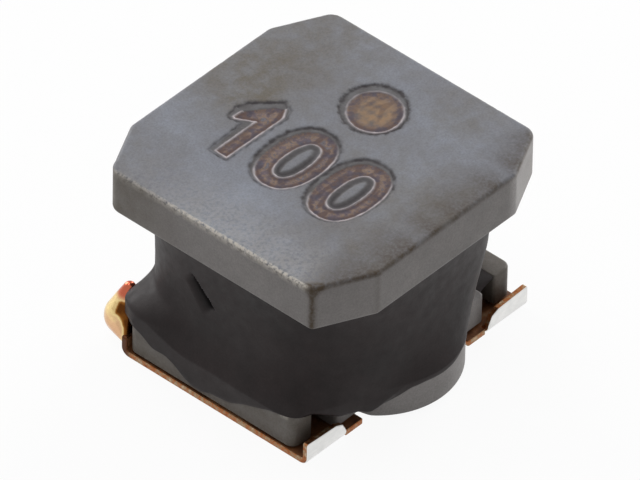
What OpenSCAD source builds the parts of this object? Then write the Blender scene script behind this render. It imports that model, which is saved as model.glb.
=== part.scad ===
// Shielded surface-mount power inductor.
// A drum core with a clipped square top flange carries a two-layer winding. Magnetic
// resin fills the space between the flanges, and two folded clip terminals hold the
// lower flange. +Z is up, the solder faces lie in z = 0 and the origin is at the
// centre of the base. The terminals run along Y, one on each side in X.

/* [Case] */
// Length of the case along X, over the top flange
case_x = 6.0; // [5.8:0.05:7]
// Length of the case along Y, over the top flange
case_y = 6.0; // [5.8:0.05:7]
// Height from the solder faces to the top face
case_h = 4.25; // [3.6:0.05:5.5]

/* [Top flange] */
// Thickness of the top flange
top_t = 0.98; // [0.7:0.02:1.3]
// Leg of each corner cut along X
corner_x = 1.15; // [0.6:0.05:1.6]
// Leg of each corner cut along Y
corner_y = 0.57; // [0.3:0.01:1]
// Rounding of the top flange's edges
edge_r = 0.09; // [0.04:0.01:0.16]

/* [Lower flange] */
// Thickness of the lower flange
base_t = 0.66; // [0.5:0.01:0.9]
// Distance from the side of the case to the side of the lower flange
side_inset = 0.05; // [0.03:0.01:0.12]
// Distance from the end of the case to the ends of the corner blocks
end_inset = 0.98; // [0.95:0.01:1.2]
// Width of the corner blocks, outside the wire notches
block_w = 0.5; // [0.45:0.01:0.6]
// Rounding of the blocks' upright corners
block_r = 0.2; // [0.1:0.01:0.22]
// Distance that the wall between the notches stands ahead of the blocks
wall_step = 0.15; // [0.05:0.01:0.25]
// Radius of the two end lobes
lobe_r = 1.62; // [1.5:0.01:1.8]
// Depth of the wire notches from the blocks' ends
notch_depth = 0.55; // [0.45:0.01:0.7]
// Clearance between the wire and each wall of its notch
notch_gap = 0.075; // [0.04:0.005:0.1]

/* [Winding] */
// Diameter of the post between the flanges
post_d = 2.5; // [2:0.05:2.7]
// Diameter of the enamelled wire
wire_d = 0.3; // [0.24:0.01:0.32]
// Smallest gap between neighbouring turns
turn_gap = 0.03; // [0.02:0.005:0.06]
// Clearance around the winding, to the post, the flanges and the resin
coil_gap = 0.03; // [0.02:0.005:0.05]

/* [Resin] */
// Distance from the case's sides to the waist of the resin
waist_inset = 0.28; // [0.15:0.01:0.4]
// Distance from the case's sides to the resin where it meets the top flange
top_inset = 0.15; // [0.05:0.01:0.3]
// Thickness of the resin film that has run over the sides of the lower flange
film_t = 0.03; // [0.02:0.005:0.045]
// Lowest point of the film above the bottom of the lower flange
film_low = 0.05; // [0.03:0.01:0.3]
// Height over which the film's lower edge thins out
film_fade = 0.06; // [0.03:0.01:0.1]
// Lowest point, above the flange's bottom, of the film on the walls beside the notches
wall_film_low = 0.2; // [0.1:0.01:0.5]
// Width of the film on those walls
wall_film_w = 0.5; // [0.3:0.01:0.6]
// Distance that the film has run down the end lobes
lobe_film_h = 0.13; // [0.08:0.01:0.3]
// Width of the flange's edge that stays bare where the resin stops on top of it
bare_edge = 0.12; // [0.1:0.01:0.2]
// Further width that stays bare at the right front corner
bare_corner = 0.38; // [0.1:0.02:0.5]
// Distance that the resin heaped over a lead stands out from the mouth of its notch
mound_over = 0.57; // [0.3:0.01:0.6]
// Height of the heaped resin's upright part above the lower flange
mound_h = 0.35; // [0.2:0.05:0.6]
// Height over which the heaped resin slopes back to the waist
mound_slope = 0.67; // [0.3:0.01:1]
// Length of the pit in the resin's side
pit_len = 0.84; // [0.3:0.02:1.2]
// Width of the pit
pit_w = 0.14; // [0.06:0.01:0.24]
// Depth of the pit
pit_depth = 0.14; // [0.05:0.01:0.25]
// Height of the pit's middle above the lower flange
pit_rise = 1.46; // [1:0.02:1.6]
// Distance of the pit's middle from the case's centre along Y
pit_y = 0.46; // [-1:0.02:1]

/* [Terminals] */
// Thickness of the terminals' sheet
sheet_t = 0.12; // [0.08:0.01:0.18]
// Width of each solder plate
plate_w = 1.56; // [1.3:0.02:1.9]
// Width of the front tabs
front_tab_w = 1.06; // [0.7:0.02:1.2]
// Height of the front tabs at their outer corner
front_tab_h = 0.5; // [0.4:0.01:0.6]
// Gap between the front tabs and the corner blocks
front_gap = 0.24; // [0.1:0.01:0.3]
// Width of the back tabs, which carry the welds
back_tab_w = 0.66; // [0.5:0.02:0.72]
// Height of the back tabs
back_tab_h = 0.42; // [0.3:0.01:0.46]
// Inside radius of the bends
bend_r = 0.06; // [0.03:0.01:0.09]
// Distance from the side of the case to the terminals
plate_inset = 0.02; // [0:0.01:0.08]
// Thickness of the adhesive between the plates and the core
glue_t = 0.05; // [0.02:0.005:0.08]

/* [Welds] */
// Diameter of the weld beads
weld_d = 0.86; // [0.7:0.02:0.9]
// Height of the beads' centres above the tops of the back tabs
weld_rise = 0.16; // [0.1:0.01:0.2]
// Depth to which the wire's ends reach into the beads
weld_bite = 0.22; // [0.1:0.01:0.3]

/* [Marking] */
// Depth of the burnt marks in the top face
mark_depth = 0.03; // [0.01:0.005:0.06]
// Height of the digits
digit_h = 1.86; // [1.2:0.02:2]
// Width of each digit
digit_w = 1.24; // [0.8:0.02:1.3]
// Distance from one digit to the next
digit_pitch = 1.29; // [1.26:0.01:1.4]
// Width of the digits' strokes
stroke_w = 0.36; // [0.2:0.01:0.4]
// Distance from the case's centre to the middle line of the row of digits
digit_drop = 0.53; // [0.3:0.01:0.8]
// Distance from the case's centre to the middle of the row, towards its first digit
row_shift = 0.21; // [0:0.01:0.4]
// Diameter of the dot above the digits
dot_d = 1.3; // [0.8:0.02:1.4]
// Gap between the digits and the dot
dot_gap = 0.39; // [0.1:0.01:0.5]

/* [Hidden] */
$fn = 64;
fit_gap = 0.01;

// Heights of the core's faces above the solder faces
base_low = sheet_t + glue_t;
base_top = base_low + base_t;
window_top = case_h - top_t;

// Plan of the lower flange
side_x = case_x / 2 - side_inset;
block_end = case_y / 2 - end_inset;
wall_end = block_end + wall_step;
notch_w = wire_d + 2 * notch_gap;
notch_out = side_x - block_w;
notch_mid = notch_out - notch_w / 2;
notch_in = notch_out - notch_w;
lobe_y = case_y / 2 - film_t - lobe_r;

// Winding: the inner layer climbs, and the outer layer comes down to one pitch above it
inner_r = post_d / 2 + coil_gap + wire_d / 2;
outer_r = inner_r + wire_d + turn_gap;
coil_low = base_top + coil_gap + wire_d / 2;
coil_high = window_top - coil_gap - wire_d / 2;
lead_y = block_end - notch_depth + wire_d / 2 + coil_gap;
notch_dist = norm([notch_mid, lead_y]);
notch_angle = atan2(lead_y, notch_mid);
start_angle = 180 - notch_angle + acos(inner_r / notch_dist);
end_angle = 360 + notch_angle - acos(outer_r / notch_dist);
part_turn = (end_angle - start_angle) / 360;
whole_turns = floor(2 * (coil_high - coil_low) / (wire_d + turn_gap) - 1 - part_turn);
inner_turns = (whole_turns + part_turn + 1) / 2;
outer_turns = inner_turns - 1;
turn_pitch = (coil_high - coil_low) / inner_turns;
cavity_r = outer_r + wire_d / 2 + coil_gap;
lead_gap = wire_d / 2 + coil_gap;

// Resin heaped over the leads, and the corner that stays bare
mound_angle = atan2(block_end, notch_mid);
mound_reach = norm([notch_mid, block_end]) + mound_over;
mound_turn = 9;
bare_angle = 360 - atan2(block_end, side_x);

// Welds and the wire's ends
weld_r = weld_d / 2;
weld_at = [case_x / 2 - weld_r, block_end + fit_gap + weld_r, back_tab_h + weld_rise];
lead_out = [notch_mid, block_end + fit_gap, (weld_at[2] + coil_low) / 2];
lead_end = weld_at + (weld_r - weld_bite) * (lead_out - weld_at) / norm(lead_out - weld_at);

// Terminals
plate_out = case_x / 2 - plate_inset;
plate_in = plate_out - plate_w;
front_out = block_end + front_gap + sheet_t;
back_out = block_end + fit_gap + sheet_t;
bend_out = bend_r + sheet_t;

// Closed solid through equal rings of points, first ring lowest, each anticlockwise from above
module loft(rings) {
    n = len(rings[0]);
    last = (len(rings) - 1) * n;
    sides = [for (k = [0:len(rings) - 2]) for (i = [0:n - 1])
        [k * n + i, k * n + n + i, k * n + n + (i + 1) % n, k * n + (i + 1) % n]];
    ends = [[for (i = [0:n - 1]) i], [for (i = [0:n - 1]) last + n - 1 - i]];
    polyhedron([for (ring = rings) for (p = ring) p], concat(sides, ends), convexity = 8);
}

// Corners of the clipped square, moved in by a distance
function clipped(in) =
    let (hx = case_x / 2 - in, hy = case_y / 2 - in,
         leg = 1 + in * (norm([corner_x, corner_y]) - corner_x - corner_y) / (corner_x * corner_y),
         cx = corner_x * leg, cy = corner_y * leg)
    [[hx, cy - hy], [hx, hy - cy], [hx - cx, hy], [cx - hx, hy],
     [-hx, hy - cy], [-hx, cy - hy], [cx - hx, -hy], [hx - cx, -hy]];

// Closed oval outline whose squareness grows with the power
function oval(w, h, power, n = 40) =
    [for (i = [0:n - 1]) let (a = 360 * i / n, c = cos(a), s = sin(a))
        [w / 2 * sign(c) * pow(abs(c), 2 / power), h / 2 * sign(s) * pow(abs(s), 2 / power)]];

// ---- Ferrite core ----

module top_flange() {
    steps = 4;
    low = [for (i = [0:steps]) let (a = 90 * i / steps) [edge_r * (1 - sin(a)), edge_r * (1 - cos(a))]];
    high = [for (i = [steps:-1:0]) [low[i][0], top_t - low[i][1]]];
    loft([for (level = concat(low, high))
        [for (p = clipped(level[0])) [p[0], p[1], window_top + level[1]]]]);
}

module rounded_block(half_x, half_y, r) {
    square([2 * half_x, 2 * (half_y - r)], center = true);
    square([2 * (half_x - r), 2 * half_y], center = true);
    for (sx = [-1, 1], sy = [-1, 1])
        translate([sx * (half_x - r), sy * (half_y - r)]) circle(r);
}

// Wire notch, open at the end of the block, with a round bottom
module notch() {
    bottom = block_end - notch_depth + notch_w / 2;
    translate([notch_mid, bottom]) circle(d = notch_w);
    translate([notch_in, bottom]) square([notch_w, notch_depth + wall_step]);
}

// Plan of the lower flange before its notches are cut
module flange_plan() {
    rounded_block(side_x, block_end, block_r);
    square([2 * notch_in, 2 * wall_end], center = true);
    for (sy = [-1, 1]) translate([0, sy * lobe_y]) circle(lobe_r, $fn = 96);
}

// Lower flange, bevelled under the blocks' ends to clear the inside of the terminals' bends
module lower_flange() {
    translate([0, 0, base_low]) difference() {
        linear_extrude(base_t) difference() {
            flange_plan();
            for (sx = [-1, 1], sy = [-1, 1]) scale([sx, sy]) notch();
        }
        for (sx = [-1, 1], sy = [-1, 1]) translate([sx * side_x, sy * block_end, 0]) rotate([45, 0, 0])
            cube([2 * (side_x - notch_mid), bend_r * sqrt(2), bend_r * sqrt(2)], center = true);
    }
}

// The digit one, drawn upright about its centre
module digit_one() {
    half = digit_h / 2;
    right = digit_w / 2 - stroke_w / 3;
    left = right - stroke_w;
    flag = left - stroke_w * 1.3;
    polygon([[left, -half], [right, -half], [right, half], [left + stroke_w * 0.2, half],
             [flag, half - stroke_w * 1.6], [flag, half - stroke_w * 2.6], [left, half - stroke_w * 2]]);
}

// The digit nought, drawn upright about its centre
module digit_nought() {
    difference() {
        polygon(oval(digit_w, digit_h, 2.3));
        polygon(oval(digit_w - 2 * stroke_w, digit_h - 2 * stroke_w, 2.3));
    }
}

// A plain value in digits that read along -Y, with a dot above them
module marks() {
    rotate(-90) {
        for (k = [0:2]) translate([digit_pitch * (k - 1) - row_shift, -digit_drop])
            if (k == 0) digit_one(); else digit_nought();
        translate([0, digit_h / 2 - digit_drop + dot_gap + dot_d / 2]) circle(d = dot_d);
    }
}

module ferrite_core() {
    color([0.44, 0.45, 0.47]) difference() {
        union() {
            top_flange();
            lower_flange();
            translate([0, 0, base_low + base_t / 2])
                cylinder(d = post_d, h = window_top - base_low + (top_t - base_t) / 2);
        }
        translate([0, 0, case_h - mark_depth]) linear_extrude(mark_depth + 1) marks();
    }
}

// ---- Winding ----

// Point on a smooth bend from a through the pull of b to c
function bend(a, b, c, t) = (1 - t) * (1 - t) * a + 2 * t * (1 - t) * b + t * t * c;

// One lead from its weld, up its notch and on to the coil, where side is -1 (left) or 1 (right)
function lead(side, coil_point) =
    let (over = [notch_mid, lead_y - wire_d / 3, coil_low],
         pull = [notch_mid, lead_y + wire_d * 0.6, coil_low],
         rise = [for (t = [0:0.25:1]) bend(lead_out, pull, over, t)],
         up = [for (p = concat([lead_end], rise)) [side * p[0], p[1], p[2]]],
         last = up[len(up) - 1])
    concat(up, [(last + coil_point) / 2]);

function on_coil(r, a, z) = [r * cos(a), r * sin(a), z];
turn_steps = 24;
inner_points = [for (i = [0:ceil(inner_turns * turn_steps)])
    let (t = i / ceil(inner_turns * turn_steps))
    on_coil(inner_r, start_angle + 360 * inner_turns * t, coil_low + (coil_high - coil_low) * t)];
outer_points = [for (i = [1:ceil(outer_turns * turn_steps)])
    let (t = i / ceil(outer_turns * turn_steps), a = 360 * outer_turns * t, out = min(1, a / 90))
    on_coil(inner_r + (outer_r - inner_r) * out, start_angle + 360 * inner_turns + a,
            coil_high - (coil_high - coil_low - turn_pitch) * t)];
left_lead = lead(-1, inner_points[0]);
right_lead = lead(1, outer_points[len(outer_points) - 1]);
wire_path = concat(left_lead, inner_points, outer_points,
                   [for (i = [len(right_lead) - 1:-1:0]) right_lead[i]]);

// Ring of points around the path at point k, square to the path
function wire_ring(path, k, sides) =
    let (a = path[max(k - 1, 0)], b = path[min(k + 1, len(path) - 1)], along = (b - a) / norm(b - a),
         across = cross([0, 0, 1], along) / norm(cross([0, 0, 1], along)), up = cross(along, across))
    [for (i = [0:sides - 1]) let (q = -360 * i / sides + 22.5)
        path[k] + wire_d / 2 * (cos(q) * across + sin(q) * up)];

module winding() {
    color([0.72, 0.38, 0.18]) loft([for (k = [0:len(wire_path) - 1]) wire_ring(wire_path, k, 8)]);
}

// ---- Resin ----

function superellipse_reach(a, ax, ay, power) =
    pow(pow(abs(cos(a)) / ax, power) + pow(abs(sin(a)) / ay, power), -1 / power);

// Reach of an end lobe, or its nearest pass where the line at an angle misses the lobe
function lobe_reach(a) =
    lobe_y * abs(sin(a)) + sqrt(max(0, pow(lobe_r, 2) - pow(lobe_y * cos(a), 2)));

// Reach of a rectangle about the centre
function box_reach(a, ax, ay) = min(ax / max(abs(cos(a)), 0.001), ay / max(abs(sin(a)), 0.001));

// Reach of the lower flange before its notches are cut
function flange_reach(a) =
    max(box_reach(a, side_x, block_end), box_reach(a, notch_in, wall_end), lobe_reach(a));

// Lowest height at an angle to which the film has run over the flange's sides, walls and lobes
function film_edge(a) =
    let (y = side_x * abs(sin(a)) / max(abs(cos(a)), 0.001),
         x = wall_end * abs(cos(a)) / max(abs(sin(a)), 0.001),
         on_side = film_low + base_t * pow(y / (block_end - block_r), 2),
         on_wall = wall_film_low + base_t * pow((notch_in - wall_film_w / 2 - x) / (wall_film_w / 2), 2),
         on_lobe = base_t - lobe_film_h)
    base_low + min(on_side, on_wall, x < notch_in ? on_lobe : 2 * base_t);

// Hump of height 1 that falls off on both sides of 0
function hump(t) = exp(-t * t);

// Smooth step from 0 to 1
function ease(t) = let (c = min(1, max(0, t))) c * c * (3 - 2 * c);

// Reach of the resin's foot: outside the flange where the film has run over it, or short of its edge
function foot_reach(a, z) =
    let (cover = min(1, max(-1, (z - film_edge(a)) / film_fade)))
    flange_reach(a) + cover * (cover > 0 ? film_t : bare_edge)
                    - bare_corner * hump((a - bare_angle) / mound_turn);

// Share of the resin heaped over a lead at an angle and a height
function mound_share(a, z) =
    hump((abs(a - 90) - (90 - mound_angle)) / mound_turn)
    * (1 - ease((z - base_top - mound_h) / mound_slope));

// Outer reach of the resin at an angle, where s runs from the lower flange (0) to the top flange (1)
function resin_reach(a, s) =
    let (waist = superellipse_reach(a, case_x / 2 - waist_inset, case_y / 2 - waist_inset, 2.8),
         head = superellipse_reach(a, case_x / 2 - top_inset, case_y / 2 - top_inset, 3),
         z = base_top + (window_top - base_top) * s,
         plain = waist + (foot_reach(a, base_top) - waist) * pow(1 - min(s * 2, 1), 3)
                       + (head - waist) * pow(max(s * 2 - 1, 0), 2))
    plain + max(0, mound_reach - plain) * mound_share(a, z);

module resin_body() {
    sides = 96;
    drape = [for (k = [0:5]) base_low + film_low + (base_t - film_low) * k / 5.5];
    levels = [0.02, 0.06, 0.11, 0.17, 0.25, 0.34, 0.45, 0.58, 0.7, 0.8, 0.9, 1];
    angles = [for (i = [0:sides - 1]) 360 * i / sides];
    loft(concat(
        [for (z = drape) [for (a = angles) let (r = foot_reach(a, z)) [r * cos(a), r * sin(a), z]]],
        [for (s = levels) [for (a = angles) let (r = resin_reach(a, s))
            [r * cos(a), r * sin(a), base_top + (window_top - base_top) * s]]]));
}

// Channel that a lead leaves the coil through, from its point on the coil to its notch
module lead_channel(side, coil_point, height) {
    from = [coil_point[0], coil_point[1]];
    to = [side * notch_mid, lead_y];
    translate([to[0], to[1], base_top]) rotate(atan2(from[1] - to[1], from[0] - to[0]))
        translate([0, -lead_gap, 0]) cube([norm(from - to), 2 * lead_gap, height]);
    translate([side * notch_mid - lead_gap, lead_y - lead_gap, base_top - lead_gap])
        cube([2 * lead_gap, lead_out[1] + 2 * lead_gap - lead_y, 3 * lead_gap]);
}

// Room in the heaped resin for the straight end of a lead and for its weld bead
module weld_seat(side) {
    along = lead_end - lead_out;
    mirror([side < 0 ? 1 : 0, 0, 0]) {
        translate(lead_out) rotate([0, acos(along[2] / norm(along)), atan2(along[1], along[0])])
            cylinder(r = lead_gap, h = norm(along));
        translate(weld_at) sphere(weld_r + fit_gap);
    }
}

module pit() {
    reach = case_x / 2 - waist_inset;
    translate([-reach - 1, pit_y, base_top + pit_rise]) rotate([45, 0, 0]) rotate([0, 90, 0])
        linear_extrude(1 + pit_depth) {
            square([pit_w, pit_len - pit_w], center = true);
            for (sy = [-1, 1]) translate([0, sy * (pit_len - pit_w) / 2]) circle(d = pit_w);
        }
}

module resin_coating() {
    color([0.2, 0.18, 0.18]) difference() {
        resin_body();
        translate([0, 0, base_top - 1]) linear_extrude(1) flange_plan();
        translate([0, 0, base_top - 1]) cylinder(r = cavity_r, h = window_top - base_top + 2);
        lead_channel(-1, inner_points[0], 2 * lead_gap);
        lead_channel(1, outer_points[len(outer_points) - 1], 2 * lead_gap + turn_pitch);
        weld_seat(-1);
        weld_seat(1);
        pit();
    }
}

// ---- Terminals ----

// Side view of an upright tab and its bend; the outer face is at 0 and the plate starts at bend_out
module bent_tab(height) {
    translate([0, bend_out]) square([sheet_t, height - bend_out]);
    intersection() {
        translate([bend_out, bend_out]) difference() {
            circle(bend_out);
            circle(bend_r);
        }
        square(bend_out);
    }
}

// Tab standing at the end of a plate at a distance from the centre, between two places in X
module end_tab(x_in, x_out, distance, height) {
    translate([x_in, distance, 0]) rotate([90, 0, 90]) linear_extrude(x_out - x_in)
        mirror([1, 0]) bent_tab(height);
}

// Corner cut and slope of a front tab's top edge, seen from the front
module front_tab_outline() {
    polygon([[plate_out, 0], [plate_out, front_tab_h],
             [plate_out - front_tab_w * 0.75, front_tab_h * 0.84],
             [plate_out - front_tab_w, front_tab_h * 0.4], [plate_out - front_tab_w, 0]]);
}

module terminal() {
    color([0.9, 0.89, 0.87]) {
        translate([plate_in, -front_out + bend_out, 0])
            cube([plate_w, front_out - bend_out + back_out - bend_out, sheet_t]);
        translate([plate_in, -front_out + sheet_t / 2, 0])
            cube([plate_w - front_tab_w, bend_out, sheet_t]);
        intersection() {
            mirror([0, 1, 0]) end_tab(plate_out - front_tab_w, plate_out, front_out, front_tab_h);
            translate([0, -block_end, 0]) rotate([90, 0, 0]) linear_extrude(case_y) front_tab_outline();
        }
        end_tab(plate_out - back_tab_w, plate_out, back_out, back_tab_h);
    }
}

module terminal_left() { mirror([1, 0, 0]) terminal(); }
module terminal_right() { terminal(); }

// ---- Welds ----

// Bead of molten wire and tab: it grips the top of the tab and holds the end of the wire
module weld(side, wire_end, wire_next) {
    away = wire_next - wire_end;
    color([0.85, 0.65, 0.42]) difference() {
        translate([side * weld_at[0], weld_at[1], weld_at[2]]) sphere(weld_r);
        translate([0, block_end + fit_gap / 2, 0]) mirror([side < 0 ? 1 : 0, 0, 0])
            translate([plate_out - back_tab_w - fit_gap, 0, -1])
                cube([back_tab_w + weld_d, sheet_t + fit_gap, back_tab_h + fit_gap + 1]);
        translate(wire_end) rotate([0, acos(away[2] / norm(away)), atan2(away[1], away[0])])
            translate([0, 0, -fit_gap]) cylinder(r = wire_d / 2 + fit_gap, h = weld_d);
    }
}

module weld_left() { weld(-1, wire_path[0], wire_path[1]); }
module weld_right() { weld(1, wire_path[len(wire_path) - 1], wire_path[len(wire_path) - 2]); }

// ---- Adhesive ----

module adhesive() {
    margin = 0.08;
    color([0.55, 0.5, 0.38]) translate([plate_in + margin, -(block_end - notch_depth) + margin, sheet_t])
        cube([side_x - plate_in - 2 * margin, 2 * (block_end - notch_depth - margin), glue_t]);
}

module adhesive_left() { mirror([1, 0, 0]) adhesive(); }
module adhesive_right() { adhesive(); }

ferrite_core();
winding();
resin_coating();
terminal_left();
terminal_right();
weld_left();
weld_right();
adhesive_left();
adhesive_right();
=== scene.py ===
"""Shielded surface-mount power inductor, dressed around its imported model.

Lengths are in millimetres until a mesh is made. X runs from one terminal to the other, +Y towards
the welds, and +Z is up from the solder faces.
"""

import math

import bmesh
import bpy
import numpy as np
from mathutils import Matrix, Vector, noise
from mathutils.geometry import delaunay_2d_cdt


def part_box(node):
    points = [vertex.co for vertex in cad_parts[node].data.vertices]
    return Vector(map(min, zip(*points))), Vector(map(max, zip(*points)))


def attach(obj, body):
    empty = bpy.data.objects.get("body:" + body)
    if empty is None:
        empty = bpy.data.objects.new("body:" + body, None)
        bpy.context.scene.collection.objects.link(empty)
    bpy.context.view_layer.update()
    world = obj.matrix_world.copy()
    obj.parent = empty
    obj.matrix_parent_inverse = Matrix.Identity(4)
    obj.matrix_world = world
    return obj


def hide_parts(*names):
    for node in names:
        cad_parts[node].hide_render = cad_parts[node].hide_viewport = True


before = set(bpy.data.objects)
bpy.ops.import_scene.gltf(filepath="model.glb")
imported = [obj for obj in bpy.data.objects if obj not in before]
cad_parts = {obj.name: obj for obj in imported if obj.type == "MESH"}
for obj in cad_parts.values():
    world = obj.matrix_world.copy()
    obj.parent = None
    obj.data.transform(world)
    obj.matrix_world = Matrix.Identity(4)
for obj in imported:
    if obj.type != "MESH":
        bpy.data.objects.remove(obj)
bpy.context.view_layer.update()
MM = 0.001


def box_mm(node):
    low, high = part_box(node)
    return np.array(low) / MM, np.array(high) / MM


# ---- Sizes that the frame gives ----
core_low, (CASE_X, CASE_Y, TOP) = box_mm("ferrite_core")
plate_low, plate_high = box_mm("terminal_right")
BASE_LOW = core_low[2]
WINDOW_TOP = box_mm("resin_coating")[1][2]
FRONT_OUT = -plate_low[1]
BACK_OUT = plate_high[1]
PLATE_IN = plate_low[0]
PLATE_OUT = plate_high[0]
BEAD_BACK = box_mm("weld_right")[1][1]

# ---- Sizes of the core ----
BASE_T = 0.66
BASE_TOP = BASE_LOW + BASE_T
CORNER_X = 1.15
CORNER_Y = 0.57
CORNER_R = 0.13
WORN_CORNER_R = 0.3
# Roundings of the top flange's upper and lower edges and of the lower flange's
TOP_EDGE_R = 0.095
TIGHT_EDGE_R = 0.055
UNDER_EDGE_R = 0.08
FLANGE_EDGE_R = 0.05
SOLE_EDGE_R = 0.015
POST_R = 1.25
SIDE_X = CASE_X - 0.05
BLOCK_END = CASE_Y - 0.98
WALL_END = BLOCK_END + 0.15
BLOCK_W = 0.5
NOTCH_W = 0.45
NOTCH_OUT = SIDE_X - BLOCK_W
NOTCH_IN = NOTCH_OUT - NOTCH_W
NOTCH_LOW = BLOCK_END - 0.55
LOBE_R = 1.62
LOBE_DROP = 0.07
LOBE_LEVEL_Y = 2.15
FILM_T = 0.03
LOBE_Y = CASE_Y - FILM_T - LOBE_R
CAVITY_R = 1.94

# ---- Sizes of the terminals ----
SHEET_T = 0.12
BEND_R = 0.06
FRONT_TAB_IN = PLATE_OUT - 1.06
BACK_TAB_IN = PLATE_OUT - 0.66
FRONT_TAB_H = plate_high[2]
BACK_TAB_H = 0.42


# ---- Small helpers ----
def smooth(value, low=0.0, high=1.0):
    t = np.clip((np.asarray(value, float) - low) / (high - low), 0, 1)
    return t * t * (3 - 2 * t)


def bell(value, width):
    return np.exp(-((np.asarray(value, float) / width) ** 2))


def wobble(points, size, seed=0.0):
    """Smooth noise from -1 to 1 at each point, with features of about that size."""
    shift = Vector((seed * 7.3, seed * 3.1, seed * 5.7))
    return np.array([noise.noise(Vector(p) / size + shift) for p in points])


def lift(points, z):
    """Points of a plan at a height."""
    points = np.asarray(points, float)
    return np.column_stack([points, np.broadcast_to(z, len(points))])


# ---- Outlines ----
def fillet_path(corners, spacing):
    """Closed path through (x, y, radius) corners, with round corners and points along its sides."""
    path = []
    count = len(corners)
    for i in range(count):
        before, here, after = (np.array(corners[(i + k) % count][:2], float) for k in (-1, 0, 1))
        radius = corners[i][2]
        if radius == 0:
            arc = [here]
        else:
            to_before = (before - here) / np.linalg.norm(before - here)
            to_after = (after - here) / np.linalg.norm(after - here)
            half = math.acos(np.clip(to_before @ to_after, -1, 1)) / 2
            middle = to_before + to_after
            centre = here + middle / np.linalg.norm(middle) * radius / math.sin(half)
            first = here + to_before * radius / math.tan(half) - centre
            last = here + to_after * radius / math.tan(half) - centre
            start = math.atan2(first[1], first[0])
            sweep = (math.atan2(last[1], last[0]) - start + math.pi) % (2 * math.pi) - math.pi
            steps = max(4, int(abs(sweep) / math.radians(9)))
            turns = start + sweep * np.arange(steps + 1) / steps
            arc = list(centre + radius * np.column_stack([np.cos(turns), np.sin(turns)]))
        if path:
            path += side_points(path[-1], arc[0], spacing)
        path += arc
    path += side_points(path[-1], path[0], spacing)
    return np.array(path)


def side_points(start, end, spacing):
    """Points between two ends of a straight side, without the ends."""
    steps = int(np.linalg.norm(end - start) / spacing)
    return [start + (end - start) * k / steps for k in range(1, steps)]


def inset(path, distance):
    """The anticlockwise path moved in by a distance, which may differ from point to point."""
    back = path - np.roll(path, 1, axis=0)
    ahead = np.roll(path, -1, axis=0) - path
    back /= np.linalg.norm(back, axis=1)[:, None]
    ahead /= np.linalg.norm(ahead, axis=1)[:, None]
    across = (back + ahead) @ np.array([[0, 1], [-1, 0]])
    across /= np.linalg.norm(across, axis=1)[:, None]
    mitre = np.maximum(0.5, (across * (back @ np.array([[0, 1], [-1, 0]]))).sum(1))
    return path + across * (np.broadcast_to(distance, len(path)) / mitre)[:, None]


def clipped_outline():
    """Plan of the top flange: a square with its corners cut."""
    quarter = [(CASE_X, CASE_Y - CORNER_Y), (CASE_X - CORNER_X, CASE_Y)]
    half = quarter + [(-x, y) for x, y in reversed(quarter)]
    radii = [WORN_CORNER_R] * 4 + [CORNER_R] * 3 + [WORN_CORNER_R]
    corners = half + [(-x, -y) for x, y in half]
    return fillet_path([(*corner, radius) for corner, radius in zip(corners, radii)], 0.05)


def flange_outline(notched=True, spacing=0.04):
    """Plan of the lower flange, anticlockwise."""
    join = math.asin((WALL_END - LOBE_Y) / LOBE_R)
    quarter = [(SIDE_X, BLOCK_END, 0.2)]
    if notched:
        quarter += [(NOTCH_OUT, BLOCK_END, 0.06), (NOTCH_OUT, NOTCH_LOW, NOTCH_W / 2 - 0.002),
                    (NOTCH_IN, NOTCH_LOW, NOTCH_W / 2 - 0.002)]
    else:
        quarter += [(NOTCH_IN, BLOCK_END, 0)]
    quarter += [(NOTCH_IN, WALL_END, 0.07)]
    turns = np.linspace(join, math.pi / 2, 28)[:-1]
    quarter += [(LOBE_R * math.cos(t), LOBE_Y + LOBE_R * math.sin(t), 0) for t in turns]
    half = quarter + [(0, LOBE_Y + LOBE_R, 0)] + [(-x, y, r) for x, y, r in reversed(quarter)]
    return fillet_path(half + [(-x, -y, r) for x, y, r in half], spacing)


def oval(centre, width, height, power=2.3, steps=72):
    """Closed oval: width along Y and height along X, squarer as the power grows."""
    t = np.linspace(0, 2 * math.pi, steps, endpoint=False)
    along = np.sign(np.cos(t)) * np.abs(np.cos(t)) ** (2 / power) * height / 2
    across = np.sign(np.sin(t)) * np.abs(np.sin(t)) ** (2 / power) * width / 2
    return np.column_stack([centre[0] + along, centre[1] + across])


def distance_to(points, outline):
    """Distance from each point to a closed outline, below zero inside it."""
    a = outline[None]
    b = np.roll(outline, -1, axis=0)[None]
    p = points[:, None, :]
    along = b - a
    t = np.clip(((p - a) * along).sum(2) / (along ** 2).sum(2), 0, 1)
    distance = np.sqrt((((a + along * t[..., None]) - p) ** 2).sum(2)).min(1)
    crosses = (a[..., 1] > p[..., 1]) != (b[..., 1] > p[..., 1])
    rise = np.where(along[..., 1] == 0, 1, along[..., 1])
    reach = a[..., 0] + (p[..., 1] - a[..., 1]) * along[..., 0] / rise
    inside = (crosses & (p[..., 0] < reach)).sum(1) % 2 == 1
    return np.where(inside, -distance, distance)


# ---- Meshes ----
def new_object(name, data):
    """An object that is put in the scene."""
    made = bpy.data.objects.new(name, data)
    bpy.context.scene.collection.objects.link(made)
    return made


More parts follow.
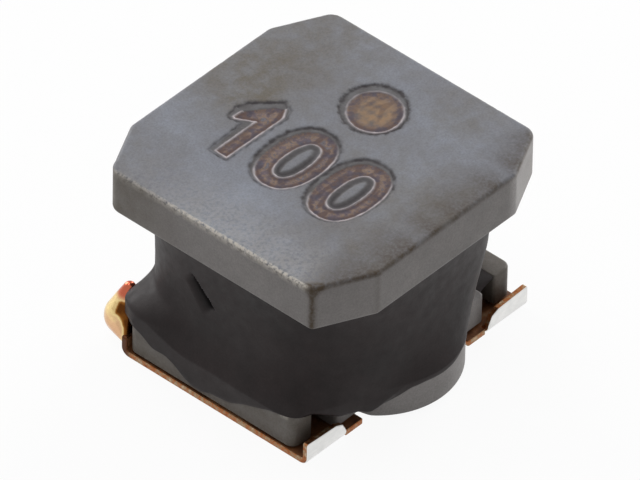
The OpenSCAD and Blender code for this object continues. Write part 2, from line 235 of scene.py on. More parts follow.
class Shell:
    """Collects the points and faces of one piece."""

    def __init__(self):
        self.points = []
        self.faces = []
        self.kinds = []

    def ring(self, points):
        start = len(self.points)
        self.points += [tuple(p) for p in points]
        return list(range(start, len(self.points)))

    def bridge(self, low, high, kind=0):
        count = len(low)
        for i in range(count):
            self.face([low[i], low[(i + 1) % count], high[(i + 1) % count], high[i]], kind)

    def tower(self, levels):
        """Rings of points, each joined to the one before it."""
        rings = [self.ring(points) for points in levels]
        for low, high in zip(rings, rings[1:]):
            self.bridge(low, high)
        return rings

    def face(self, corners, kind=0):
        self.faces.append(corners)
        self.kinds.append(kind)

    def fill(self, loops, keep, flip=False):
        """Triangles between loops of points that lie in one plane, where keep says so."""
        index = [i for loop in loops for i in loop]
        plan = [Vector(self.points[i][:2]) for i in index]
        edges = []
        start = 0
        for loop in loops:
            edges += [(start + k, start + (k + 1) % len(loop)) for k in range(len(loop))]
            start += len(loop)
        found = delaunay_2d_cdt(plan, edges, [], 1, 1e-7)
        origin = [source[0] for source in found[3]]
        for face in found[2]:
            corners = [index[origin[k]] for k in face]
            middle = np.mean([self.points[k][:2] for k in corners], axis=0)
            if keep(middle):
                self.face(corners[::-1] if flip else corners)

    def piece(self, node, slot, materials, sharp, outward=False):
        """The mesh as a fixed piece in place of a CAD node."""
        name = node + "_dressed"
        mesh = bpy.data.meshes.new(name)
        mesh.from_pydata([tuple(c * MM for c in p) for p in self.points], [], self.faces)
        for material in materials:
            mesh.materials.append(material)
        mesh.polygons.foreach_set("material_index", self.kinds)
        if outward:
            work = bmesh.new()
            work.from_mesh(mesh)
            bmesh.ops.recalc_face_normals(work, faces=work.faces)
            work.to_mesh(mesh)
            work.free()
        mesh.polygons.foreach_set("use_smooth", [True] * len(mesh.polygons))
        mesh.set_sharp_from_angle(angle=math.radians(sharp))
        mesh.update()
        made = new_object(name, mesh)
        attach(made, "root")
        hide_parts(node)
        return made


def add_attribute(piece, name, values):
    """A number at each point of a piece, for its material."""
    layer = piece.data.attributes.new(name, "FLOAT", "POINT")
    layer.data.foreach_set("value", np.asarray(values, np.float32))


# ---- Materials ----
class Nodes:
    """A node tree built with short calls."""

    def __init__(self, owner):
        owner.use_nodes = True
        self.tree = owner.node_tree

    def add(self, kind, **settings):
        made = self.tree.nodes.new(kind)
        for key, value in settings.items():
            setattr(made, key, value)
        return made

    def feed(self, socket, value):
        if isinstance(value, bpy.types.NodeSocket):
            self.tree.links.new(value, socket)
        else:
            socket.default_value = value

    def give(self, node, **inputs):
        """Values for inputs of the node, by names with underscores for spaces."""
        for key, value in inputs.items():
            self.feed(node.inputs[key.replace("_", " ")], value)

    def math(self, operation, first, second):
        made = self.add("ShaderNodeMath", operation=operation)
        self.feed(made.inputs[0], first)
        self.feed(made.inputs[1], second)
        return made.outputs[0]


class Finish(Nodes):
    """A material. Sizes of patterns are in millimetres."""

    def __init__(self, name):
        self.material = bpy.data.materials.new(name)
        super().__init__(self.material)
        self.shader = self.tree.nodes["Principled BSDF"]
        self.place = self.add("ShaderNodeTexCoord").outputs["Object"]

    def set(self, **inputs):
        self.give(self.shader, **inputs)

    def noise(self, size, detail=3.0, rough=0.55, shift=0.0, stretch=(1, 1, 1)):
        mapping = self.add("ShaderNodeMapping")
        step = (shift * MM, shift * 0.7 * MM, -shift * MM)
        self.give(mapping, Vector=self.place, Location=step, Scale=stretch)
        made = self.add("ShaderNodeTexNoise")
        self.give(made, Vector=mapping.outputs[0], Scale=1 / (size * MM), Detail=detail,
                  Roughness=rough)
        return made.outputs["Fac"]

    def number(self, name):
        return self.add("ShaderNodeAttribute", attribute_name=name).outputs["Fac"]

    def ramp(self, value, *stops):
        made = self.add("ShaderNodeValToRGB")
        self.give(made, Fac=value)
        marks = made.color_ramp.elements
        marks[0].position = stops[0][0]
        marks[1].position = stops[-1][0]
        for place, _ in stops[1:-1]:
            marks.new(place)
        for mark, (_, colour) in zip(marks, stops):
            mark.color = (*colour, 1)
        return made.outputs["Color"]

    def shades(self, amount, colour, value, *stops):
        """The colour multiplied by a ramp of greys."""
        greys = self.ramp(value, *((place, (level,) * 3) for place, level in stops))
        return self.mix(amount, colour, greys, "MULTIPLY")

    def spread(self, value, low, high, to_low=0.0, to_high=1.0):
        made = self.add("ShaderNodeMapRange")
        self.give(made, Value=value, From_Min=low, From_Max=high, To_Min=to_low, To_Max=to_high)
        return made.outputs["Result"]

    def mix(self, amount, first, second, blend="MIX"):
        made = self.add("ShaderNodeMix", data_type="RGBA", blend_type=blend)
        self.feed(made.inputs[0], amount)
        for socket, colour in zip(made.inputs[6:8], (first, second)):
            self.feed(socket, colour if isinstance(colour, bpy.types.NodeSocket) else (*colour, 1))
        return made.outputs[2]

    def bump(self, height, strength, depth):
        made = self.add("ShaderNodeBump")
        self.give(made, Strength=strength, Distance=depth * MM, Height=height)
        self.set(Normal=made.outputs[0])


def rgb(red, green, blue):
    """Linear colour from the 0 to 255 values that it shows as."""
    levels = (channel / 255 for channel in (red, green, blue))
    return tuple(v / 12.92 if v <= 0.04045 else ((v + 0.055) / 1.055) ** 2.4 for v in levels)


def ferrite_finish():
    """Ground ferrite: grey-blue with clouds, grain, brown stains mixed with painted shade, dirt with
    painted dark reflections along the front edges, worn edges with painted highlights, a painted
    highlight on a clipped corner, and burnt-in marks whose lips carry a painted highlight and whose
    rims carry painted shade.
    """
    f = Finish("ferrite")
    clouds = f.noise(1.5, 4, 0.6, 3.1)
    ground = f.ramp(clouds, (0.3, rgb(112, 113, 120)), (0.5, rgb(120, 123, 132)),
                    (0.72, rgb(131, 136, 147)))
    sides = f.ramp(clouds, (0.3, rgb(112, 107, 105)), (0.5, rgb(119, 115, 113)),
                   (0.72, rgb(126, 122, 120)))
    colour = f.mix(f.number("side"), ground, sides)
    patchy = f.noise(0.35, 5, 0.65, 9.4)
    colour = f.mix(f.spread(patchy, 0.35, 0.75, 0, 0.3), colour, rgb(104, 102, 101))
    # Brown stains mixed with painted shade that darkens the top face towards its front
    stain_and_shade = f.math("MULTIPLY", f.number("stain_and_shade"), f.spread(patchy, 0.25, 0.7, 0.45, 1.15))
    colour = f.mix(stain_and_shade, colour, rgb(95, 89, 80))
    # Painted highlight on the clipped corner at the right of the -Y end, and a paler tone on the
    # lobes
    colour = f.mix(f.number("pale_and_highlight"), colour, rgb(200, 196, 194))
    grain = f.noise(0.035, 2, 0.5)
    colour = f.shades(0.32, colour, grain, (0.3, 0.62), (0.5, 1.0), (0.72, 1.35))
    specks = f.noise(0.07, 3, 0.6, 5.0)
    # Dirt, and painted dark reflections on the rounded front edges
    dirt_and_dark_reflection = f.math("MULTIPLY", f.number("dirt_and_dark_reflection"), f.spread(specks, 0.3, 0.62, 0.6, 1.1))
    colour = f.mix(dirt_and_dark_reflection, colour, rgb(62, 50, 36))
    # Bright line along the top edges of the -X side and of its block: a painted highlight with some
    # wear
    edge = f.math("MULTIPLY", f.number("wear_and_highlight"), f.spread(specks, 0.34, 0.55))
    colour = f.mix(edge, colour, rgb(204, 198, 188))
    burn = f.ramp(patchy, (0.35, rgb(70, 66, 66)), (0.65, rgb(94, 93, 95)))
    colour = f.mix(f.number("burn"), colour, burn)
    tone = f.noise(0.2, 4, 0.65, 17.0)
    fill = f.ramp(tone, (0.30, rgb(82, 80, 92)), (0.40, rgb(88, 74, 80)), (0.47, rgb(104, 90, 88)),
                  (0.54, rgb(124, 102, 84)), (0.60, rgb(90, 82, 86)), (0.70, rgb(104, 104, 112)))
    fine = f.noise(0.07, 3, 0.6, 23.0)
    fill = f.shades(0.5, fill, fine, (0.35, 0.6), (0.5, 0.95), (0.65, 1.25))
    amber = f.ramp(tone, (0.35, rgb(96, 86, 80)), (0.6, rgb(134, 108, 82)))
    fill = f.mix(f.number("glow"), fill, amber)
    colour = f.mix(f.number("fill"), colour, fill)
    scorch = f.ramp(tone, (0.4, rgb(54, 46, 56)), (0.6, rgb(76, 52, 44)))
    colour = f.mix(f.number("scorch"), colour, scorch)
    # Dark rims with painted shade, and pale lips with a painted highlight
    colour = f.mix(f.number("rim_and_shade"), colour, rgb(40, 35, 38))
    colour = f.mix(f.number("lip"), colour, rgb(184, 174, 176))
    rough = f.spread(f.noise(0.25, 4, 0.6, 6.0), 0.3, 0.7, 0.45, 0.62)
    f.set(Base_Color=colour, Roughness=rough, Specular_IOR_Level=0.3)
    f.bump(f.noise(0.03, 3, 0.6), 0.35, 0.006)
    return f.material


def resin_finish():
    """Epoxy filled with magnetic powder: near black, satin, with a fine grain and painted shade in
    its pit.
    """
    f = Finish("magnetic resin")
    clouds = f.noise(0.9, 4, 0.6, 2.0)
    colour = f.ramp(clouds, (0.3, rgb(34, 29, 29)), (0.7, rgb(46, 39, 39)))
    grain = f.noise(0.04, 2, 0.6)
    colour = f.shades(0.4, colour, grain, (0.3, 0.75), (0.7, 1.25))
    # Painted shade darkening the slanted pit
    colour = f.mix(f.number("pit"), colour, rgb(9, 7, 7))
    rough = f.spread(f.noise(0.2, 4, 0.6, 4.0), 0.3, 0.7, 0.48, 0.6)
    rough = f.math("MAXIMUM", rough, f.number("pit"))
    f.set(Base_Color=colour, Roughness=rough, Specular_IOR_Level=0.2)
    f.bump(f.noise(0.05, 3, 0.6), 0.25, 0.008)
    return f.material


def tin_finish():
    """Matte tin plating with faint rolling lines; its inner side is brown with flux and a painted
    reflection of copper.
    """
    f = Finish("tin plating")
    lines = f.noise(0.05, 3, 0.6, 0, (0.25, 1, 1))
    clouds = f.noise(0.3, 4, 0.6)
    colour = f.ramp(clouds, (0.3, rgb(222, 222, 220)), (0.7, rgb(238, 237, 235)))
    colour = f.shades(0.25, colour, lines, (0.3, 0.82), (0.7, 1.12))
    flux_and_copper_reflection = f.ramp(clouds, (0.35, rgb(92, 56, 34)), (0.55, rgb(130, 84, 52)),
                  (0.7, rgb(150, 118, 88)))
    # Inner side: flux brown mixed with a painted copper reflection
    colour = f.mix(f.number("inside"), colour, flux_and_copper_reflection)
    f.set(Base_Color=colour, Metallic=f.spread(f.number("inside"), 0, 1, 1, 0.2))
    f.set(Roughness=f.spread(lines, 0.3, 0.7, 0.3, 0.44))
    f.bump(lines, 0.3, 0.004)
    return f.material


def cut_finish():
    """Copper of the cut edges, dulled, partly wiped over with tin and burnt brown beside a weld."""
    f = Finish("cut copper")
    wiped = f.noise(0.12, 4, 0.7, 1.0)
    colour = f.ramp(wiped, (0.32, rgb(118, 70, 40)), (0.46, rgb(158, 98, 58)),
                    (0.58, rgb(150, 126, 98)), (0.75, rgb(206, 176, 148)))
    colour = f.mix(f.number("scorched"), colour, rgb(84, 52, 34))
    f.set(Base_Color=colour, Metallic=1.0, Roughness=f.spread(wiped, 0.3, 0.7, 0.32, 0.48))
    f.bump(f.noise(0.03, 3, 0.6), 0.4, 0.006)
    return f.material


def weld_finish():
    """Glossy re-melted metal: copper red above, a painted yellow-white highlight over its upper part,
    peach lower down, and a painted dark reflection of the core on the side that faces it.
    """
    f = Finish("weld metal")
    mottle = f.noise(0.2, 3, 0.5, 8.0)
    # Painted reflection: a yellow-white highlight high on the bead, peach lower down, and dark brown
    # where it faces the core
    tone = f.math("ADD", f.number("painted_reflection"), f.spread(mottle, 0.3, 0.7, -0.1, 0.1))
    colour = f.ramp(tone, (0.08, rgb(92, 52, 20)), (0.3, rgb(150, 96, 40)),
                    (0.46, rgb(246, 220, 158)), (0.62, rgb(224, 184, 142)), (0.9, rgb(212, 166, 130)))
    colour = f.mix(f.number("red"), colour, rgb(196, 104, 78))
    rough = f.spread(f.noise(0.15, 3, 0.6), 0.3, 0.7, 0.16, 0.34)
    f.set(Base_Color=colour, Metallic=1.0, Roughness=rough)
    f.bump(f.noise(0.12, 3, 0.5, 4.0), 0.25, 0.02)
    return f.material


def wire_finish():
    """Copper wire under clear red-brown enamel."""
    f = Finish("enamelled copper")
    colour = f.ramp(f.noise(0.2, 3, 0.6), (0.3, rgb(150, 78, 38)), (0.7, rgb(184, 104, 56)))
    rough = f.spread(f.noise(0.08, 3, 0.6), 0.3, 0.7, 0.25, 0.4)
    f.set(Base_Color=colour, Metallic=0.85, Roughness=rough, Coat_Weight=0.6, Coat_Roughness=0.12)
    f.bump(f.noise(0.1, 3, 0.6), 0.2, 0.01)
    return f.material


def glue_finish():
    """Cured amber adhesive."""
    f = Finish("adhesive")
    colour = f.ramp(f.noise(0.2, 3, 0.6), (0.3, rgb(112, 98, 68)), (0.7, rgb(150, 134, 98)))
    f.set(Base_Color=colour, Roughness=f.spread(f.noise(0.1, 3, 0.6), 0.3, 0.7, 0.35, 0.5))
    f.bump(f.noise(0.08, 3, 0.6), 0.3, 0.01)
    return f.material


# ---- Marks on the top face ----
MARK_LOW = np.array([-1.68, -2.0])
MARK_HIGH = np.array([2.3, 2.16])
MARK_STEP = 0.0175
# Corners of the digit one, with +X towards its top and +Y to its left
ONE = np.array([(-1.40, 1.50), (-1.41, 1.08), (0.20, 1.05), (0.37, 1.13), (0.52, 1.37), (0.03, 1.87),
                (-0.15, 1.94), (-0.47, 1.86), (-0.51, 1.78), (-0.44, 1.55)])
# Corners of its coloured fill
ONE_FILL = np.array([(-1.35, 1.40), (-1.36, 1.12), (0.14, 1.10), (0.36, 1.22), (0.28, 1.40),
                     (0.0, 1.62), (-0.24, 1.78), (-0.44, 1.80), (-0.46, 1.74), (-0.27, 1.40)])
ONE_CENTRE = (-0.45, 1.3)
NOUGHT_SIZE = (1.27, 1.89)
COUNTER_SIZE = (0.51, 1.12)
NOUGHTS = [(-0.525, 0.21), (-0.525, -1.08)]
DOT = (1.44, 0.07)
DOT_R = 0.655
DISC = (1.40, 0.01)
DISC_R = 0.53
# The dot is a little longer along one direction
DOT_TURN = math.radians(41)
DOT_STRETCH = 1.08
# Steps by which the coloured fill and the counters lie nearer the front than the burnt patch
FILL_SHIFT = np.array([-0.035, -0.055])
COUNTER_SHIFT = np.array([-0.04, -0.08])
FILL_INSET = 0.062
FRONT_WAY = math.radians(-125)


def dot_distance(plan, centre, radius):
    away = plan - np.array(centre)
    along = away @ np.array([math.cos(DOT_TURN), math.sin(DOT_TURN)])
    across = away @ np.array([-math.sin(DOT_TURN), math.cos(DOT_TURN)])
    return np.hypot(along / DOT_STRETCH, across) - radius


def facing_front(plan, centre, low=-0.35, high=0.6):
    """How much the edge of a mark faces the front corner, where the painted highlight on its pale lip
    is brightest.
    """
    away = plan - np.array(centre)
    return smooth(np.cos(np.arctan2(away[:, 1], away[:, 0]) - FRONT_WAY), low, high)


def plan_streaks(plan):
    """The plan drawn out along the digits, so that noise over it makes streaks."""
    return lift(plan * np.array([0.45, 1.0]), 0)


def mark_fields(plan):
    """Burnt patch, fill, pale lip with a painted highlight, dark rim with painted shade, and scorch
    of the marks, each from 0 to 1 over a plan.
    """
    flat = lift(plan, 0)
    ragged = 0.018 * wobble(flat, 0.1, 1.0) + 0.014 * wobble(flat, 0.04, 2.0)
    soft = 0.009 * wobble(flat, 0.08, 3.0)
    uneven = 0.68 + 0.6 * wobble(flat, 0.13, 7.0)
    streaks = smooth(wobble(plan_streaks(plan), 0.13, 9.0), -0.05, 0.25)
    fields = {key: np.zeros(len(plan)) for key in ("burn", "fill", "lip", "rim_and_shade", "scorch")}

    def lay(key, value):
        fields[key] = np.maximum(fields[key], value)

    for centre in [ONE_CENTRE] + NOUGHTS:
        if centre == ONE_CENTRE:
            near = distance_to(plan, ONE) + ragged
            fill = distance_to(plan, ONE_FILL) + soft
            hole = 0
            coloured = smooth(-fill, 0.0, 0.025)
            flag = (plan[:, 1] > 1.36) & (plan[:, 0] < -0.2)
            front = np.where((plan[:, 1] < 1.24) | (plan[:, 0] < -1.28) | flag, 1.0, 0.0)
        else:
            near = distance_to(plan, oval(centre, *NOUGHT_SIZE)) + ragged
            fill = distance_to(plan - FILL_SHIFT, oval(centre, *NOUGHT_SIZE)) + FILL_INSET + soft
            counter = distance_to(plan - COUNTER_SHIFT, oval(centre, *COUNTER_SIZE)) + soft
            hole = smooth(-counter, 0.13, 0.19)
            coloured = smooth(-fill, 0.0, 0.025) * smooth(counter, 0.0, 0.02)
            front = facing_front(plan, centre)
            # Painted shade on the counter's rim, darkest on the side that faces the front corner
            shaded_side = 0.6 + 0.4 * facing_front(plan, centre, -0.2, 0.5)
            lay("rim_and_shade", shaded_side * bell(counter + 0.09, 0.062) * (counter < 0.01))
            # Painted highlight on the counter's pale lip
            lay("lip", 0.9 * uneven * bell(counter, 0.016))
            lay("scorch", 0.85 * bell(counter - 0.055, 0.042))
        lay("burn", smooth(-near, 0.0, 0.03) * (1 - hole))
        # Dark rim: a burnt halo with painted shade, darker on the side away from the front corner
        rim_and_shade = bell(near + 0.015 - 0.03 * front, 0.044 - 0.012 * front)
        lay("rim_and_shade", uneven * (1.4 - 0.4 * front) * rim_and_shade)
        lay("fill", coloured)
        # Painted highlight on the pale lip, on the side that faces the front corner
        lay("lip", front * uneven * bell(fill, 0.018))
        lay("scorch", coloured * (0.6 + 0.35 * front) * bell(fill + 0.06, 0.055))
        lay("scorch", coloured * 0.8 * streaks)
    dot = dot_distance(plan, DOT, DOT_R) + 1.6 * ragged
    disc = dot_distance(plan, DISC, DISC_R) + soft
    front = facing_front(plan, DISC)
    lay("burn", smooth(-dot, 0.0, 0.03))
    lay("rim_and_shade", 1.3 * uneven * bell(dot + 0.025, 0.045))
    lay("fill", smooth(-disc, 0.0, 0.025))
    # Painted highlight on the dot's pale lip, brightest towards the front corner
    lay("lip", (0.45 + 0.55 * front) * uneven * bell(disc, 0.018))
    lay("scorch", (0.45 + 0.4 * front) * bell(disc + 0.075, 0.06))
    lay("scorch", (disc < 0) * 0.45 * streaks)
    fields["glow"] = smooth(-disc, 0.0, 0.3)
    for key in ("rim_and_shade", "burn", "fill", "scorch", "glow"):
        fields[key] = np.clip(fields[key], 0, 1) * (1 - 0.9 * np.clip(fields["lip"], 0, 1))
    fields["lip"] = np.clip(fields["lip"], 0, 1)
    return fields


# ---- Ferrite core ----
def top_edge_radius(path):
    """Rounding of the top edge: tight along the -X side and wider elsewhere."""
    corner = -CASE_Y + CORNER_Y
    on_side = smooth(-path[:, 0], CASE_X - 0.3, CASE_X - 0.05)
    on_side *= smooth(path[:, 1], corner - 0.1, corner + 0.3)
    return TOP_EDGE_R + (TIGHT_EDGE_R - TOP_EDGE_R) * on_side


def slab_sides(plan, low, high, low_radius, high_radius, levels, chips=0.0):
    """Levels of points up the sides of a slab that has its lower and upper edges rounded."""
    quarter = np.radians(np.linspace(0, 90, 8))
    under = [lift(inset(plan, low_radius * (1 - math.cos(t))), low + low_radius * (1 - math.sin(t)))
             for t in quarter[::-1]]
    over = [lift(inset(plan, high_radius * (1 - math.cos(t)) + chips * math.sin(2 * t)),
                 high - high_radius * (1 - math.sin(t))) for t in quarter]
    return under + [lift(plan, z) for z in levels] + over


def core_piece(material):
    """The whole drum core: top flange with its marks, post and lower flange."""
    shell = Shell()
    outline = clipped_outline()
    flat = lift(outline, 0)
    chips = np.maximum(0.006 * wobble(flat, 0.12, 4.0) + 0.004 * wobble(flat, 0.04, 5.0), 0)
    top = shell.tower(slab_sides(outline, WINDOW_TOP, TOP, UNDER_EDGE_R, top_edge_radius(outline),
                                 np.linspace(WINDOW_TOP + 0.12, TOP - 0.18, 12), chips))
    grid = mark_grid(shell)
    border = grid[0] + [row[-1] for row in grid[1:]]
    border += grid[-1][-2::-1] + [row[0] for row in grid[-2:0:-1]]
    middle = (MARK_LOW + MARK_HIGH) / 2
    half = (MARK_HIGH - MARK_LOW) / 2
    shell.fill([top[-1], border], lambda p: (np.abs(p - middle) > half - 1e-4).any())

    turns = np.linspace(0, 2 * math.pi, 96, endpoint=False)
    circle = POST_R * np.column_stack([np.cos(turns), np.sin(turns)])
    post_high = shell.ring(lift(circle, WINDOW_TOP))
    post_low = shell.ring(lift(circle, BASE_TOP))
    shell.fill([top[0], post_high], lambda p: np.hypot(*p) > POST_R * 0.999, flip=True)
    shell.bridge(post_low, post_high)

    plan = flange_outline()
    sole = BASE_LOW - LOBE_DROP * smooth(np.abs(plan[:, 1]), LOBE_LEVEL_Y, LOBE_LEVEL_Y + 0.25)
    base = shell.tower(slab_sides(plan, sole, BASE_TOP, SOLE_EDGE_R, FLANGE_EDGE_R,
                                  np.linspace(BASE_LOW + 0.1, BASE_TOP - 0.1, 6)))
    shell.fill([base[-1], post_low], lambda p: np.hypot(*p) > POST_R * 0.999)
    floor = np.array([shell.points[i][:2] for i in base[0]])
    level = shell.ring(lift(circle * LOBE_LEVEL_Y / POST_R, BASE_LOW))
    shell.fill([base[0], level], lambda p: distance_to(p[None], floor)[0] < 0, flip=True)

    piece = shell.piece("ferrite_core", "ferrite", [material], sharp=50)
    paint_core(piece, np.array(shell.points))


def mark_grid(shell):
    """Fine grid of points over the marks, sunk where they are burnt in."""
    counts = np.round((MARK_HIGH - MARK_LOW) / MARK_STEP).astype(int)
    xs = np.linspace(MARK_LOW[0], MARK_HIGH[0], counts[0] + 1)
    ys = np.linspace(MARK_LOW[1], MARK_HIGH[1], counts[1] + 1)
    plan = np.array([(x, y) for y in ys for x in xs])
    fields = mark_fields(plan)
    depth = 0.012 * fields["burn"] + 0.012 * fields["fill"] + 0.01 * fields["rim_and_shade"]
    rough = 0.003 * wobble(lift(plan, 0), 0.05, 6.0) * fields["burn"]
    sunk = np.maximum(depth * (1 - fields["lip"]) + rough, 0)
    index = shell.ring(lift(plan, TOP - sunk))
    width = counts[0] + 1
    grid = [index[r * width:(r + 1) * width] for r in range(counts[1] + 1)]
    for low, high in zip(grid, grid[1:]):
        for k in range(width - 1):
            shell.face([low[k], low[k + 1], high[k + 1], high[k]])
    return grid


# Stained and shaded places on the top face: x, y, radius, strength. Some are real brown stains and
# some are painted shade that darkens the top face towards its front.
STAINS_AND_SHADE = [(2.6, 1.9, 1.5, 0.7), (0.6, 2.6, 1.3, 0.75), (-2.3, 2.4, 0.9, 0.5), (2.5, -1.3, 0.9, 0.6),
          (-2.0, -2.6, 0.8, 0.5), (0.2, 1.9, 0.8, 0.45), (0.4, -2.6, 0.9, 0.6),
          (-0.8, -1.6, 1.5, 0.5), (0.4, -0.4, 1.0, 0.25)]
# Corners of the top flange that bear a painted dark reflection, and the width of the olive band of
# painted dark reflection along its edges
FRONT_CORNER = (-CASE_X, -CASE_Y + CORNER_Y)
NEXT_CORNER = (-CASE_X + CORNER_X, -CASE_Y)
BAND_W = 0.2
# Bright line along the top edge of the -X side, a painted highlight with some wear, and dark specks
# under it: depth and width
LINE_DEPTH = 0.022
LINE_W = 0.04
SPECK_DEPTH = 0.085
SPECK_W = 0.035


def past_clipped_corner(x, y):
    """Distance past the faces of the clipped corners at the -Y end, below zero inside them."""
    across = np.array([CORNER_Y, CORNER_X]) / math.hypot(CORNER_X, CORNER_Y)
    face = CASE_X * across[0] + (CASE_Y - CORNER_Y) * across[1]
    return np.abs(x) * across[0] - y * across[1] - face


def core_stain_and_shade(x, y, upper, on_top, blocks):
    """Brown stains and painted shade: clouds of stain and painted shade on the top face, a darker
    brown towards the far end of the -X side, and a browner tone on the blocks.
    """
    clouds = sum(power * bell(np.hypot(x - px, y - py), size) for px, py, size, power in STAINS_AND_SHADE)
    far_end = smooth(y, 0.4, 2.4) * smooth(-x, CASE_X - 0.2, CASE_X - 0.02)
    return clouds * on_top + (1 - on_top) * (0.9 * far_end * upper + 0.75 * blocks)


def core_pale_and_highlight(x, y, upper, on_top):
    """Lighter ferrite: a paler tone on the lobes, and a painted highlight on the clipped corner at
    the right of the -Y end.
    """
    lobes = (1 - upper) * smooth(-np.abs(x), -NOTCH_IN, -NOTCH_IN + 0.3)
    corner = bell(past_clipped_corner(x, y), 0.06) * (x > 0) * (y < 0) * upper
    return (1 - on_top) * (0.2 * lobes + 0.42 * corner)


def core_dirt_and_dark_reflection(points, upper, on_top, blocks):
    """Darkening along edges and corners: a painted dark reflection on the front corner and along the
    rounded top edge of the -Y end and its clipped corners, thinner dark bands along the other top
    edges, dark specks under the bright line of the -X side, and the blocks darker towards their
    bottom.
    """
    x, y, z = points.T
    # Painted dark reflection: a brown patch where the front corner meets the top face, and lines down
    # it and the next one
    beside = np.hypot(x - FRONT_CORNER[0], y - FRONT_CORNER[1])
    dirt_and_dark_reflection = 1.2 * bell(beside, 0.07 + 0.15 * smooth(z, TOP - 0.25, TOP)) * upper
    beside = np.hypot(x - NEXT_CORNER[0], y - NEXT_CORNER[1])
    dirt_and_dark_reflection += 0.22 * bell(beside, 0.06) * upper * (1 - on_top)
    # Painted dark reflection: an olive band along the rounded top edge of the -Y end and of the
    # clipped corners beside it
    to_edge = np.minimum(y + CASE_Y, -past_clipped_corner(x, y))
    band = bell(np.maximum(to_edge, 0), BAND_W) * smooth(z, TOP - 0.1, TOP - 0.02)
    dirt_and_dark_reflection += band * (0.75 + 0.5 * wobble(points, 0.3, 9)) * (y < 0)
    # Thinner dark bands along the other top edges
    edges = bell(np.maximum(CASE_X - np.abs(x), 0), 0.05) + bell(np.maximum(CASE_Y - y, 0), 0.05)
    dirt_and_dark_reflection += 0.2 * edges * on_top * (y > FRONT_CORNER[1] + 0.2)
    # Dark specks under the bright line along the -X side
    under = bell(z - (TOP - SPECK_DEPTH), SPECK_W) * smooth(-x, CASE_X - 0.04, CASE_X - 0.01)
    under *= smooth(wobble(points, 0.16, 8), -0.15, 0.3)
    dirt_and_dark_reflection += (0.95 + 0.4 * smooth(y, 0.3, 1.8)) * under
    # The blocks darker all over, and more so towards their bottom
    return dirt_and_dark_reflection + blocks * (0.2 + 0.4 * smooth(-z, -BASE_LOW - 0.3, -BASE_LOW))


def core_wear_and_highlight(points):
    """Wear and painted highlight: a bright line along the rounded top edge of the -X side, and bright
    specks along the top edge of its block.
    """
    x, y, z = points.T
    line = bell(z - (TOP - LINE_DEPTH), LINE_W) * smooth(-x, CASE_X - 0.07, CASE_X - 0.02)
    line *= smooth(y, FRONT_CORNER[1] + 0.05, FRONT_CORNER[1] + 0.25)
    specks = bell(z - BASE_TOP, 0.05) * smooth(-x, SIDE_X - 0.2, SIDE_X - 0.02)
    specks *= smooth(-y, 0.9, 1.5) * smooth(wobble(points, 0.2, 13), -0.1, 0.3)
    return (1.2 - 0.7 * smooth(y, 0.3, 1.8)) * line + 0.6 * specks


def paint_core(piece, points):
    """Stains with painted shade, dirt with painted dark reflections, worn edges with painted
    highlights, a painted highlight on a clipped corner, and marks, as numbers at the core's points.
    """
    x, y, z = points.T
    upper = z > WINDOW_TOP
    on_top = smooth(z, TOP - 0.06, TOP - 0.01)
    blocks = smooth(np.abs(x), NOTCH_IN - 0.1, NOTCH_IN + 0.2) * (1 - upper)
    fields = {"side": 1 - on_top, "stain_and_shade": core_stain_and_shade(x, y, upper, on_top, blocks),
              "pale_and_highlight": core_pale_and_highlight(x, y, upper, on_top),
              "dirt_and_dark_reflection": core_dirt_and_dark_reflection(points, upper, on_top, blocks), "wear_and_highlight": core_wear_and_highlight(points)}
    for name, values in fields.items():
        add_attribute(piece, name, np.clip(values, 0, 1))
    plan = points[:, :2]
    inside = (z > TOP - 0.05) & (plan >= MARK_LOW).all(1) & (plan <= MARK_HIGH).all(1)
    for name, values in mark_fields(plan[inside]).items():
        full = np.zeros(len(points))
        full[inside] = values
        add_attribute(piece, name, full)


# ---- Resin ----
# Lower edge of the resin around the part: angle from +X in degrees, height
RESIN_EDGE = [(-180, 0.3), (-171, 0.36), (-165, 0.52), (-160, 0.62), (-154, 0.76), (-147, 0.83),
              (-141, 0.72), (-136, 0.54), (-131, 0.42), (-125, 0.38), (-120, 0.25), (-117, 0.31),
              (-114, 0.41), (-108, 0.57), (-104, 0.68), (-98, 0.72), (-90, 0.7), (-84, 0.71),
              (-78, 0.76), (-72, 0.72), (-64, 0.66), (-56, 0.58), (-50, 0.52), (-45, 0.62),
              (-40, 0.8), (-34, 0.83), (-26, 0.8), (-18, 0.6), (-8, 0.36), (4, 0.28), (14, 0.44),
              (24, 0.68), (32, 0.8), (38, 0.66), (46, 0.62), (52, 0.6), (60, 0.6), (72, 0.68),
              (90, 0.72), (106, 0.7), (118, 0.62), (127, 0.6), (134, 0.62), (141, 0.64),
              (147, 0.8), (151, 0.72), (155, 0.55), (160, 0.56), (164, 0.46), (168, 0.29),
              (172, 0.21), (176, 0.22)]
# Widest part of the bare tops of the lower flange's corners: angle, width, depth
BARE_CORNERS = [(-34, 9, 0.5), (-146, 4, 0.05)]
# Where the resin leans in above a bare corner: angle, width, depth, height at which it ends
LEAN_AT = -46
LEAN_WIDTH = 13
LEAN_DEPTH = 0.36
LEAN_TOP = 2.3
# Mounds of resin over the leads: angle, width before and after it in degrees, reach, shoulder, slope
LEAD_MOUNDS = [(141, 8, 15, 3.58, 1.1, 0.38), (42.2, 9, 9, 3.58, 1.15, 0.7)]
# Share by which the resin bridges the hollows between the blocks and the lobes: all around, and
# added about one angle
BRIDGE = 0.45
MORE_BRIDGE = 0.45
MORE_AT = -130
MORE_WIDTH = 50
WAIST_INSET = 0.28
HEAD_INSET = 0.15
# Slanted pit in the -X side: y and z of its middle, and its size
PIT_AT = (0.42, 2.32)
PIT_LENGTH = 0.84
PIT_WIDTH = 0.34
PIT_DEPTH = 0.3


